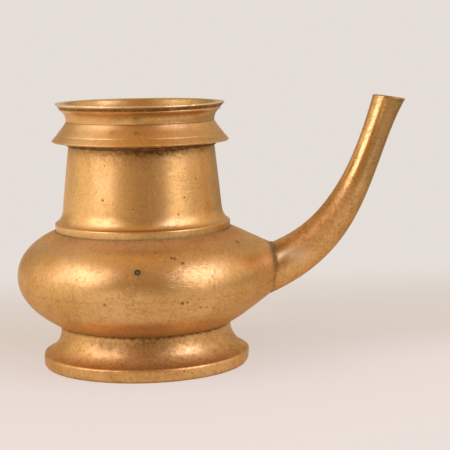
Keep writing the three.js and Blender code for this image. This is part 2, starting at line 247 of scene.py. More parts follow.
def rows_to_faces(rows, sides, closed=True):
    """Four-sided faces between rows of points. A closed piece's last row meets its first."""
    a = np.arange(rows if closed else rows - 1)[:, None]
    b = np.arange(sides)[None]
    above, beside = (a + 1) % rows, (b + 1) % sides
    quads = [a * sides + b, a * sides + beside, above * sides + beside, above * sides + b]
    return np.stack(quads, -1).reshape(-1, 4)


def build(name, points, faces, seamless=False):
    """A closed mesh object from points in millimetres, with its faces outward."""
    points = points.reshape(-1, 3)
    a, b, c, d = (points[faces[:, k]] for k in range(4))
    volume = np.einsum("ij,ij->i", a, np.cross(b, c)).sum() + np.einsum("ij,ij->i", a, np.cross(c, d)).sum()
    if volume < 0:
        faces = faces[:, ::-1]
    mesh = bpy.data.meshes.new(name)
    mesh.from_pydata((points * MM + [AXIS_X, 0, 0]).tolist(), [], faces.tolist())
    if seamless:
        bm = bmesh.new()
        bm.from_mesh(mesh)
        bmesh.ops.remove_doubles(bm, verts=bm.verts, dist=1e-6)
        bm.to_mesh(mesh)
        bm.free()
    mesh.validate()
    made = bpy.data.objects.new(name, mesh)
    bpy.context.scene.collection.objects.link(made)
    return made


def in_mm(made):
    """A piece's points in millimetres from the pot's axis."""
    co = np.zeros(len(made.data.vertices) * 3, np.float32)
    made.data.vertices.foreach_get("co", co)
    return (co.reshape(-1, 3) - [AXIS_X, 0, 0]) / MM


def write_field(made, name, values):
    """Stores one value from 0 to 1 for each point, for the materials."""
    layer = made.data.attributes.new(name, "FLOAT", "POINT")
    layer.data.foreach_set("value", np.clip(values, 0, 1).astype(np.float32))


def finished(made, node, material, stain_and_shade=None, green=None, dull=None, painted_highlight=None, sharp=38):
    """Gives a piece its fields of dirt with painted shade, verdigris, dullness and painted highlight, its material
    and its place in the frame.
    """
    points = in_mm(made)
    for name, field in (("stain_and_shade", stain_and_shade), ("green", green), ("dull", dull), ("painted_highlight", painted_highlight)):
        write_field(made, name, field(points) if field else np.zeros(len(points)))
    made.data.polygons.foreach_set("use_smooth", [True] * len(made.data.polygons))
    made.data.set_sharp_from_angle(angle=math.radians(sharp))
    made.data.materials.clear()
    made.data.materials.append(material)
    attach(made, "root")
    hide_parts(node)


def cut(made, tool):
    """Takes one closed mesh out of another, and keeps the result."""
    modifier = made.modifiers.new("cut", "BOOLEAN")
    modifier.operation = "DIFFERENCE"
    modifier.solver = "EXACT"
    modifier.object = tool
    bpy.context.view_layer.update()
    evaluated = made.evaluated_get(bpy.context.evaluated_depsgraph_get())
    result = bpy.data.meshes.new_from_object(evaluated)
    made.modifiers.clear()
    old = made.data
    made.data = result
    bpy.data.meshes.remove(old)


# Materials


class Shader:
    """The nodes of one material or world. Inputs take numbers, colours or other nodes' outputs."""

    def __init__(self, owner):
        owner.use_nodes = True
        self.tree = owner.node_tree
        self.tree.nodes.clear()

    def node(self, kind, inputs=None, **settings):
        made = self.tree.nodes.new("ShaderNode" + kind)
        for key, value in settings.items():
            setattr(made, key, value)
        for key, value in (inputs or {}).items():
            if isinstance(value, bpy.types.NodeSocket):
                self.tree.links.new(value, made.inputs[key])
            else:
                made.inputs[key].default_value = value
        return made

    def math(self, operation, a, b=0.0, clamp=False):
        return self.node("Math", {0: a, 1: b}, operation=operation, use_clamp=clamp).outputs[0]

    def times(self, a, b):
        return self.math("MULTIPLY", a, b)

    def plus(self, start, *terms):
        """The start plus each term's value times its weight."""
        for value, weight in terms:
            start = self.math("ADD", start, self.times(value, weight))
        return start

    def vector(self, operation, a, b, output=0):
        return self.node("VectorMath", {0: a, 1: b}, operation=operation).outputs[output]

    def distance(self, a, b):
        return self.vector("DISTANCE", a, b, "Value")

    def mix(self, factor, a, b):
        return self.node("Mix", {0: factor, 6: a, 7: b}, data_type="RGBA").outputs[2]

    def between(self, value, low, high, a=0.0, b=1.0, easing="SMOOTHSTEP"):
        """Goes from a to b while the value goes from low to high."""
        inputs = {0: value, 1: low, 2: high, 3: a, 4: b}
        return self.node("MapRange", inputs, interpolation_type=easing).outputs[0]

    def noise(self, vector, scale, detail, roughness=0.6, distortion=0.0):
        inputs = {"Vector": vector, "Scale": scale, "Detail": detail, "Roughness": roughness}
        return self.node("TexNoise", {**inputs, "Distortion": distortion}).outputs[0]

    def drawn_noise(self, vector, rates, detail, roughness, distortion=0.0):
        """Noise with its own rate along each axis, so that it runs in lines."""
        return self.noise(self.vector("MULTIPLY", vector, rates), 1.0, detail, roughness, distortion)

    def line(self, noise, level):
        """Thin lines where the noise passes a level."""
        return self.between(self.math("ABSOLUTE", self.math("SUBTRACT", noise, level)), 0.01, 0.001)

    def field(self, name):
        return self.node("Attribute", attribute_name=name).outputs["Fac"]

    def metal(self, base, metallic, rough, height, edge_tint=None):
        """Ends a material in one metal surface. The height is in millimetres."""
        bump = self.node("Bump", {"Strength": 1.0, "Distance": MM, "Height": height}).outputs[0]
        inputs = {"Base Color": base, "Metallic": metallic, "Roughness": rough, "Normal": bump}
        if edge_tint:
            inputs["Specular Tint"] = edge_tint
        self.node("OutputMaterial", {0: self.node("BsdfPrincipled", inputs).outputs[0]})


def colour(r, g, b):
    return (r, g, b, 1.0)


EDGE_TINT = colour(0.9, 0.78, 0.66)
BROWN_FILM, PALE_FILM = colour(0.43, 0.17, 0.045), colour(0.88, 0.57, 0.27)
SPECKLES, PITS, SCRATCHES = colour(0.25, 0.09, 0.025), colour(0.19, 0.065, 0.02), colour(0.3, 0.13, 0.04)
PAINTED_HIGHLIGHT_COLOUR, STAIN_AND_SHADE_COLOUR, VERDIGRIS = colour(0.98, 0.76, 0.45), colour(0.16, 0.07, 0.014), colour(0.22, 0.19, 0.06)
BARE_BRAZE = colour(0.62, 0.36, 0.13)


def brass(name, fresh, aged, seed, roughness, spots=(), lines=1.0, dirt=1.0, bumps=1.0, ripples=None):
    """Old cast brass: mottled, pitted and scratched, with turning lines, brown stain and verdigris, and with
    painted shade and painted highlights from its fields.

    Noise scales are per metre, and heights in millimetres. A spot is a place and size in metres, and ripples are
    a place, size and height.
    """
    material = bpy.data.materials.new(name)
    s = Shader(material)
    place = s.node("TexCoord").outputs["Object"]
    here = s.vector("ADD", place, (seed * 0.37, seed * 0.21, seed * 0.11))
    cloud = s.noise(here, 21.0, 5.0, 0.6, 0.4)
    blotch = s.noise(here, 105.0, 5.0, 0.66, 0.6)
    stipple = s.noise(here, 560.0, 4.0, 0.68, 0.4)
    speckle = s.noise(here, 1250.0, 3.0)
    turning = s.drawn_noise(here, (60.0, 60.0, 1500.0), 3.0, 0.65)
    film = s.plus(s.times(blotch, 0.32), (stipple, 0.68))

    base = s.mix(s.between(cloud, 0.34, 0.66), fresh, aged)
    brown = s.between(film, 0.47, 0.62, 0.0, 0.46 * dirt)
    base = s.mix(brown, base, BROWN_FILM)
    base = s.mix(s.between(film, 0.47, 0.37, 0.0, 0.24), base, PALE_FILM)
    base = s.mix(s.between(speckle, 0.585, 0.70, 0.0, 0.55 * dirt), base, SPECKLES)
    # Painted highlight: where this field is high, a pale bright colour stands in for a reflection of the lamps or
    # backdrop
    painted_highlight = s.field("painted_highlight")
    base = s.mix(s.times(painted_highlight, 0.75), base, PAINTED_HIGHLIGHT_COLOUR)

    # Pits: a few cells of a random pattern, and the spots
    cells = s.node("TexVoronoi", {"Vector": here, "Scale": 190.0, "Randomness": 1.0})
    chosen = s.between(s.node("SeparateColor", {0: cells.outputs["Color"]}).outputs[0], 0.83, 0.85)
    pit = s.times(s.between(s.plus(cells.outputs["Distance"], (speckle, 0.12)), 0.16, 0.1), chosen)
    ragged = s.noise(here, 900.0, 2.0)
    for *centre, size in spots:
        far = s.plus(s.distance(place, centre), (ragged, size * 0.9))
        pit = s.math("MAXIMUM", pit, s.between(far, size * 1.45, size * 0.75))

    # Real stain and painted shade: this field darkens towards a brown colour both where the metal is stained and
    # where shade falls
    stain_and_shade = s.math("MULTIPLY", s.field("stain_and_shade"), s.between(film, 0.36, 0.6, 0.7, 1.18), clamp=True)
    base = s.mix(stain_and_shade, base, STAIN_AND_SHADE_COLOUR)
    verdigris = s.math("MULTIPLY", s.field("green"), s.between(film, 0.36, 0.58, 0.5, 1.1), clamp=True)
    base = s.mix(verdigris, base, VERDIGRIS)
    upright = s.line(s.drawn_noise(here, (130.0, 170.0, 44.0), 1.0, 0.5, 1.1), 0.53)
    level = s.line(s.drawn_noise(here, (34.0, 52.0, 180.0), 1.0, 0.5, 0.9), 0.47)
    scratches = s.times(s.math("MAXIMUM", upright, level), s.between(blotch, 0.42, 0.58))
    base = s.mix(s.times(pit, 0.72), base, PITS)
    base = s.mix(s.times(scratches, 0.3), base, SCRATCHES)

    height = s.plus(
        s.times(turning, 0.010 * lines), (blotch, 0.06 * bumps), (stipple, 0.017 * bumps), (speckle, 0.007 * bumps),
        (pit, -0.05),
    )
    if ripples:
        *centre, size, depth = ripples
        patch = s.between(s.distance(place, centre), size, size * 0.3, 0.0, depth)
        height = s.plus(height, (s.drawn_noise(here, (170.0, 170.0, 520.0), 3.0, 0.6, 1.0), patch))
    height = s.plus(height, (scratches, -0.03))
    rough = s.between(cloud, 0.3, 0.7, roughness - 0.04, roughness + 0.06)
    rough = s.plus(rough, (brown, 0.2), (stain_and_shade, 0.25), (s.field("dull"), 0.3), (painted_highlight, -0.08))
    rough = s.math("ADD", rough, s.times(pit, 0.3), clamp=True)
    covered = s.times(s.math("MAXIMUM", s.times(stain_and_shade, 0.3), verdigris), 0.3)
    s.metal(base, s.math("SUBTRACT", 1.0, covered, clamp=True), rough, height, EDGE_TINT)
    return material


def filler(name, dark, light, seed):
    """Rough brazing or plug metal, dull with dirt. Here the field that elsewhere holds stain and painted shade lays
    the brazing metal bare.
    """
    material = bpy.data.materials.new(name)
    s = Shader(material)
    here = s.vector("ADD", s.node("TexCoord").outputs["Object"], (seed * 0.3, seed * 0.2, seed * 0.1))
    lump = s.noise(here, 420.0, 6.0, 0.7)
    grain = s.noise(here, 1800.0, 3.0)
    base = s.mix(s.between(lump, 0.38, 0.62), dark, light)
    bare = s.math("MAXIMUM", s.between(grain, 0.6, 0.72, 0.0, 0.6), s.field("stain_and_shade"))
    base = s.mix(bare, base, BARE_BRAZE)
    height = s.plus(s.times(lump, 0.25), (grain, 0.04))
    s.metal(base, s.between(lump, 0.4, 0.6, 0.95, 0.75), s.between(lump, 0.3, 0.7, 0.5, 0.75), height)
    return material


def spots(*places):
    """Spots (turn, r, z, size) in millimetres, as (x, y, z, size) in metres."""
    out = []
    for turn, r, z, size in places:
        x, y, z = on_pot(turn, r, z) * MM
        out.append((x + AXIS_X, y, z, size * MM))
    return out


FRESH, AGED = colour(0.76, 0.455, 0.175), colour(0.66, 0.365, 0.115)
neck_brass = brass(
    "neck_brass", colour(0.81, 0.49, 0.19), colour(0.73, 0.415, 0.135), 1, 0.3,
    spots(
        (-29.3, 44.6, 98.9, 1.1), (0.7, 44.9, 95.7, 0.7), (-6.3, 45.1, 94.2, 0.8), (31.5, 44.5, 99.2, 0.9),
        (25.6, 45.5, 90.2, 0.8), (14.0, 42.0, 123.6, 1.2), (-8.1, 43.5, 108.9, 0.6), (43.2, 43.5, 108.9, 0.9),
    ),
    dirt=0.6, bumps=0.8, ripples=(*spots((33.0, 43.5, 106.0, 19.0))[0], 0.14),
)
rim_brass = brass(
    "rim_brass", colour(0.78, 0.465, 0.18), colour(0.71, 0.395, 0.125), 2, 0.3, dirt=0.55, bumps=0.6,
)
upper_brass = brass(
    "upper_bowl_brass", FRESH, AGED, 3, 0.34,
    spots(
        (6.2, 60.6, 72.6, 1.1), (13.2, 64.4, 69.6, 1.4), (14.6, 64.8, 69.2, 1.4), (18.0, 67.0, 66.7, 1.7),
        (60.4, 60.4, 72.5, 1.8), (-3.0, 69.6, 63.3, 2.2),
    ),
    dirt=0.8, ripples=(*spots((15.0, 71.5, 57.5, 15.0))[0], 0.36),
)
lower_brass = brass(
    "lower_bowl_brass", FRESH, AGED, 3, 0.35,
    spots(
        (-17.6, 72.1, 46.0, 1.2), (-5.4, 72.1, 46.2, 0.9), (16.1, 71.9, 45.6, 1.5), (18.4, 71.9, 45.9, 1.0),
        (25.0, 70.5, 42.2, 0.9), (28.0, 70.3, 41.6, 0.8), (32.0, 69.6, 40.6, 0.8),
    ),
    dirt=0.8,
)
foot_brass = brass(
    "foot_brass", FRESH, AGED, 5, 0.32,
    spots((20.0, 59.1, 5.5, 0.8), (22.3, 59.1, 4.8, 0.6), (24.6, 59.1, 3.8, 0.7), (-51.1, 49.2, 17.1, 0.6)),
)
spout_brass = brass(
    "spout_brass", colour(0.77, 0.44, 0.16), colour(0.67, 0.35, 0.1), 6, 0.22, lines=0.2, dirt=1.15, bumps=0.5,
)
braze = filler("braze", colour(0.18, 0.09, 0.025), colour(0.28, 0.15, 0.045), 1)
seam_braze = filler("seam_braze", colour(0.32, 0.23, 0.08), colour(0.45, 0.33, 0.12), 2)
plug_metal = filler("plug_metal", colour(0.07, 0.055, 0.025), colour(0.18, 0.165, 0.085), 3)


def mouth_rim():
    """A hollow throat, a bead, an undercut and a flat lip."""
    throat_low, throat_high, lip_in = (42.35, MOUTH_BASE), (45.5, 146.0), (43.3, 149.3)
    lip = eased([
        throat_high, (46.2, 146.75, 0.25), (45.95, 147.2, 0.2), (47.85, 149.15, 0.25),
        (48.35, 149.55, 0.25), (48.15, 150.05, 0.25), (46.0, 149.9), (43.8, 150.0, 0.5), lip_in,
    ], 4)
    outline = np.vstack([
        divided(np.array([(36.7, 134.7), (38.2, 134.7), (38.2, MOUTH_BASE), throat_low]), HIDDEN_STEP / 2),
        divided(bezier([throat_low, (42.4, 143.8), throat_high], 14), FINE)[1:],
        divided(lip, 0.7)[1:],
        bezier([lip_in, (41.2, 144.4), (36.7, 139.5)], 12)[1:],
    ])
    edge = 48.6
    marks = [
        (-26.5, edge, 149.6, 1.1, 0.5), (36, edge, 149.7, 1.6, 0.45), (120, edge, 149.6, 1.4, 0.4),
        (-140, edge, 149.7, 1.2, 0.4),
    ]
    points = nicked(uneven(revolved(outline, SIDES).reshape(-1, 3), 0.07), marks)
    made = build("mouth_rim_metal", leaned(points, SLIP), rows_to_faces(len(outline), SIDES))

    def is_in(p):
        rise = p[:, 2] - LEAN_FROM
        r = np.hypot(p[:, 0] - LEAN * rise + SLIP, p[:, 1] - TILT * rise)
        return r < np.interp(p[:, 2], [139.9, 143, 146, 149.5], [40, 41.2, 43.2, 44.0])

    def stain_and_shade(p):
        turn, z = turned_to(p), p[:, 2]
        front = peak(turn, 8, 26)
        crease = peak(z, 139.8, 0.3) * (0.15 + 0.3 * front)
        # Painted shade: darker in the undercut beneath the lip, and on the throat below the bead, most at the front
        undercut = 0.75 * smooth(z, 147.1, 147.5) * fading(z, 149.0, 149.4)
        patch = 0.5 * peak(turn, -1.5, 4.5) * peak(z, 143.2, 1.5)
        patch += 0.35 * peak(turn, -18, 9) * peak(z, 143.2, 1.8)
        under = (0.2 * front + 0.04) * smooth(z, 142.0, 144.6) * (z < 147.5)
        return (crease + undercut + patch + under) * ~is_in(p)

    def green(p):
        right = peak(turned_to(p), 125, 45)
        return (0.2 + 0.25 * right) * is_in(p) + 0.1 * peak(p[:, 2], 139.8, 0.6)

    def painted_highlight(p):
        # Painted highlight: the flat top of the lip and the bead's edge are made paler and brighter, standing in
        # for reflections
        top = smooth(p[:, 2], 149.3, 149.7) * (from_axis(p) > 44.2)
        return top + 0.5 * peak(p[:, 2], 146.6, 0.35) * ~is_in(p)

    finished(made, "mouth_rim", rim_brass, stain_and_shade, green, painted_highlight=painted_highlight)


def neck_radius(z):
    """The radius of the neck's tapering tube at a height."""
    return np.interp(z, [NECK_LOW[1], NECK_TOP[1]], [NECK_LOW[0], NECK_TOP[0]])


def drip_collar():
    """The skirt that flares down from the crease below the mouth to a sharp edge."""
    base = neck_radius(COLLAR_BASE)
    bore = [(neck_radius(z) + JOINT, z) for z in (NECK_TOP[1], 133, COLLAR_BASE)]
    outside = eased([
        (base + 1.7, COLLAR_BASE), (base + 2.3, 130.5, 0.6), (47.0, 129.7, 0.5),
        (49.8, 127.95, 0.3), (50.6, 128.75, 0.2), (47.8, 131.9, 0.2), (47.4, 132.6, 0.2),
        (44.1, 136.7, 1.6), (42.3, COLLAR_TOP, 0.12), (bore[0][0], COLLAR_TOP),
    ], 4)
    outline = np.vstack([divided(outside, FINE), divided(np.array(bore), HIDDEN_STEP)[1:]])
    edge = (50.9, 128.4)
    marks = [
        (11.5, *edge, 0.9, 0.5), (-4, *edge, 2.2, 0.15), (70, *edge, 1.5, 0.35), (-100, *edge, 1.2, 0.4),
        (160, *edge, 1.6, 0.4),
    ]
    points = nicked(uneven(revolved(outline, SIDES).reshape(-1, 3), 0.08), marks)
    made = build("drip_collar_metal", leaned(points, SLIP), rows_to_faces(len(outline), SIDES))

    def stain_and_shade(p):
        turn, z = turned_to(p), p[:, 2]
        # Painted shade: the underside of the skirt is darkened
        under = 0.8 * (z < 130.6) * fading(from_axis(p), 47.4, 49.4)
        crease = 0.15 * peak(z, 139.6, 0.25)
        step = 0.12 * peak(z, 132.2, 0.4)
        patch = 0.7 * peak(turn, -2.5, 2.4) * peak(z, 135.6, 0.8)
        patch += 0.35 * peak(turn, -19, 3.5) * peak(z, 136.4, 1.6)
        return under + crease + step + patch + 0.16 * peak(turn, 42, 20)

    def green(p):
        return 0.1 * (p[:, 2] < 129)

    def painted_highlight(p):
        # Painted highlight: a bright line along the skirt's lower edge, and the left side made brighter, where the
        # lamps shine
        edge = 0.8 * peak(p[:, 2], 128.1, 0.35) * (from_axis(p) > 48.9)
        left = 0.35 * peak(turned_to(p), -42, 24) * (from_axis(p) > 41.8)
        return edge + left

    finished(made, "drip_collar", rim_brass, stain_and_shade, green, painted_highlight=painted_highlight)


def neck():
    """The ring on the shoulder, the hollow curve above it and the tapering tube."""
    sleeve, ring_top = (42.2, 73.5), (49.6, 82.3)
    ring = [sleeve, (44.1, 73.5, 0.3), (44.1, 80.1), (45.4, 79.6), (50.0, 77.95, 0.25), (50.2, 81.9, 0.5), ring_top]
    inside = [NECK_TOP, (38.4, 139.5), (38.4, 134.3), (43.3, 91.0), (43.3, 84.0), sleeve]
    outline = np.vstack([
        eased(ring, 4),
        bezier([ring_top, (45.9, 84.3), NECK_LOW], 14)[1:],
        divided(np.array([NECK_LOW, NECK_TOP]), FINE * 1.5)[1:],
        divided(np.array(inside), INSIDE_STEP)[1:-1],
    ])
    points = uneven(revolved(outline, SIDES).reshape(-1, 3), 0.12)
    made = build("neck_metal", leaned(points), rows_to_faces(len(outline), SIDES))

    def stain_and_shade(p):
        turn, z = turned_to(p), p[:, 2]
        front = 0.4 + 0.6 * peak(turn, 14, 38)
        # Dirt and painted shade: the neck darkens below the collar, most at the front
        collar = (0.85 * smooth(z, 119.5, 126.8) + 0.2 * smooth(z, 112, 121)) * front
        low = 0.3 * peak(z, RING_UNDER, 0.4)
        # Painted shade: a narrow darker band down the neck's front, standing in for the dark reflection there
        return collar + low + 0.16 * peak(turn, 2, 13) * smooth(z, 82, 92)

    def green(p):
        inner = from_axis(p) < neck_radius(p[:, 2]) - 1
        return 0.35 * inner + 0.15 * peak(p[:, 2], RING_UNDER, 0.4)

    finished(made, "neck", neck_brass, stain_and_shade, green)


under_line = bezier(BOWL_UNDER, 120)


def under_bowl(r):
    """The height of the bowl's underside at a distance from the axis."""
    return float(np.interp(r, under_line[:, 0], under_line[:, 1]))


def foot():
    """A band, a rounded shoulder and a hollow curve up to the waist, open below."""
    curve = bezier([(58.4, 7.5), (52.6, 9.3), (48.6, 15.5), (WAIST, 21.0)], 30)[3:]
    outside = np.vstack([
        eased([(55.3, 0), (58.0, 0, 0.3), (59.1, 1.7, 1.3), (59.1, 7.2, 1.1), curve[0]], 5),
        curve[1:],
        [(WAIST, under_bowl(WAIST) - JOINT / 2)],
    ])
    inner = inset(curve, FOOT_WALL)[::-1]
    top = inner[0, 0]
    inside = np.vstack([[(top, under_bowl(top) - JOINT)], inner[::4], [(55.7, 4.8)]])
    outline = np.vstack([divided(outside, FINE), divided(inside, INSIDE_STEP)])
    marks = [
        (-20, 59.5, 5.8, 3, 0.12), (38, 59.5, 1.5, 2, 0.2), (-70, 59.5, 6, 2.5, 0.2), (150, 59.5, 4, 3, 0.2),
        (90, 53.5, 12, 9, -0.9), (-90, 57, 9.5, 7, 0.35),
    ]
    points = nicked(uneven(revolved(outline, SIDES).reshape(-1, 3), 0.11), marks)
    made = build("foot_metal", points, rows_to_faces(len(outline), SIDES))

    def stain_and_shade(p):
        turn, z = turned_to(p), p[:, 2]
        # Dark joint and painted shade at the waist under the bowl, and painted shade where the foot meets the floor
        waist = 0.75 * peak(z, 23.4, 0.9)
        ground = 0.55 * peak(z, 0, 0.8)
        left = 0.35 * peak(turn, -26, 5) * peak(z, 18, 2.5)
        hollow = 0.55 * (from_axis(p) < np.interp(z, [0, 7.5, 11, 20.5], [55, 55, 50.5, 47.0]))
        # Painted shade: the front darkened, standing in for the dark reflection there
        front = peak(turn, 4, 22) * (0.36 * smooth(z, 15, 21) + 0.3 * (z > BAND_TOP))
        right = 0.22 * peak(turn, 48, 14) * (z > BAND_TOP)
        return waist + ground + left + hollow + front + right

    def dull(p):
        patch = 0.7 * peak(turned_to(p), -27, 12) * peak(p[:, 2], 17, 5)
        return np.maximum(0.5 * fading(p[:, 2], 11, 13.5) * (p[:, 2] > BAND_TOP), patch)

    finished(made, "foot", foot_brass, stain_and_shade, dull=dull)


# The joint between bowl and spout: its middle, its half height, and its upward, outward and sideways directions
seam_top, seam_bottom = (np.array([x, 0.0, z]) for x, z in (SPOUT_TOP[0], SPOUT_BOTTOM[0]))
seam_middle = (seam_top + seam_bottom) / 2
seam_height = np.linalg.norm(seam_top - seam_bottom) / 2
seam_up = unit(seam_top - seam_bottom)
seam_out = np.cross([0, 1, 0], seam_up)
seam_side = np.array([0, -1.0, 0])


def seam_ring(height, width, out, angle):
    """A ring in the joint's plane. Out may differ from point to point."""
    out = np.broadcast_to(out, angle.shape)[:, None]
    across = seam_up * (height * np.cos(angle))[:, None] + seam_side * (width * np.sin(angle))[:, None]
    return seam_middle + across + seam_out * out


def seam_share(points):
    """How far up the joint each point lies: -1 is its lower end and 1 its upper end."""
    return (points - seam_middle) @ seam_up / seam_height


def bulge(angle):
    """How far the joint's edge bulges out at an angle round it."""
    return SEAM_BULGE * np.sin(angle) ** 2


def bulge_at(share):
    """The same bulge by a share of the joint's height."""
    return SEAM_BULGE * np.clip(1 - share ** 2, 0, 1)


def seam_fade(points, width):
    """Fades away from the joint between bowl and spout, and towards its lower end."""
    share = seam_share(points)
    away = (points - seam_middle) @ seam_out - bulge_at(share)
    return peak(away, 0, width) * (0.15 + 0.85 * smooth(share, -0.2, 0.6))


def seam_cutter():
    """What lies beyond the joint between bowl and spout, whose face bulges out at its sides."""
    half, depth = 34, 30
    heights = np.linspace(-26, 26, 53)
    face = bulge_at(heights / seam_height) - SEAM_GAP
    points = []
    for height, out in zip(heights, face):
        for side, reach in ((-half, out), (half, out), (half, depth), (-half, depth)):
            points.append(seam_middle + seam_up * height + seam_side * side + seam_out * reach)
    last = (len(heights) - 1) * 4
    ends = [[3, 2, 1, 0], [last, last + 1, last + 2, last + 3]]
    faces = np.vstack([rows_to_faces(len(heights), 4, closed=False), ends])
    return build("seam_cutter", np.array(points), faces)


def ring_about(across, up, radius, sides):
    """A round ring about the origin, in the plane of two directions."""
    angle = circle(sides)[:, None]
    return (across * np.cos(angle) + up * np.sin(angle)) * radius


def bar(name, start, way, radius, length, sides):
    """A closed round bar, used to cut holes."""
    across = unit(np.cross(way, [0, 1.0, 0.2]))
    ring = ring_about(across, np.cross(way, across), radius, sides)
    end = start + way * length
    points = np.vstack([start + ring * 0, start + ring, end + ring, end + ring * 0])
    return build(name, points, rows_to_faces(4, sides, closed=False), seamless=True)


# The plug's place on the front of the bowl, and its direction, square to the bowl's surface
over_line = bezier(BOWL_OVER, 200)
plug_index = int(np.argmin(np.abs(over_line[:, 1] - PLUG_HEIGHT)))
slope = unit(over_line[plug_index + 1] - over_line[plug_index - 1])
plug_seat = on_pot(PLUG_TURN, *over_line[plug_index])
plug_out = on_pot(PLUG_TURN, slope[1], -slope[0])


def beak_reach(rows):
    """How much further out each point of the bowl lies where the beak draws it out, as a factor from the middle."""
    middle = np.array([0, 0, 50.0])
    angle = np.radians(np.arange(0, 360, 5))
    rim = seam_ring(seam_height, SEAM_WIDTH, bulge(angle), angle)
    beyond = seam_ring(seam_height - 0.8, SEAM_WIDTH - 2.9, bulge(angle) + 1.5, angle)
    count = rows.shape[1]
    off_beak = np.abs(np.arange(count) * 360 / count - 90)
    bm = bmesh.new()
    for p in np.vstack([rows[::2, off_beak < 100].reshape(-1, 3), rim, beyond]):
        bm.verts.new(p)
    bmesh.ops.convex_hull(bm, input=bm.verts)
    hull = BVHTree.FromBMesh(bm)
    bm.free()
    reach = np.ones(rows.shape[:2])
    for i in range(rows.shape[0]):
        for j in np.nonzero(off_beak < 78)[0]:
            way = rows[i, j] - middle
            length = np.linalg.norm(way)
            hit = hull.ray_cast(Vector(middle), Vector(way / length))[0]
            if hit is not None:
                reach[i, j] = max(1.0, np.linalg.norm(np.array(hit) - middle) / length)

    # Softened along both directions
    span = 3
    shifts = range(-span, span + 1)
    kernel = peak(np.array(shifts), 0, 1.1)
    kernel /= kernel.sum()
    soft = sum(w * np.roll(reach, k, 1) for k, w in zip(shifts, kernel))
    padded = np.pad(soft, ((span, span), (0, 0)), mode="edge")
    return middle, sum(w * padded[k:k + len(soft)] for k, w in enumerate(kernel))


def bowl_outlines():
    """The outer lines of the lower and upper half, with a shallow groove where they meet, and their inner lines."""
    under = bezier(BOWL_UNDER, 400)
    whole = np.vstack([under, over_line[1:]])
    at_seam = np.array([np.interp(BOWL_SEAM, under[:, 1], under[:, 0]), BOWL_SEAM])
    low = spaced(np.vstack([under[under[:, 1] < BOWL_SEAM], at_seam]), FINE)
    high = spaced(np.vstack([at_seam, whole[whole[:, 1] > BOWL_SEAM]]), FINE)
    high = np.vstack([high, [(47.5, 78.75), BOWL_MOUTH]])
    for line in (low, high):
        line[:, 0] -= 0.025 * peak(line[:, 1], BOWL_SEAM, 0.3)
    inner = inset(bezier(BOWL_UNDER, 60), BOWL_WALL)
    inner[0, 0] = 0
    upper = inset(np.vstack([bezier(BOWL_OVER, 30), [BOWL_MOUTH]]), BOWL_WALL)
    upper[-1, 0] = BOWL_MOUTH[0]
    return low, high, inner, upper


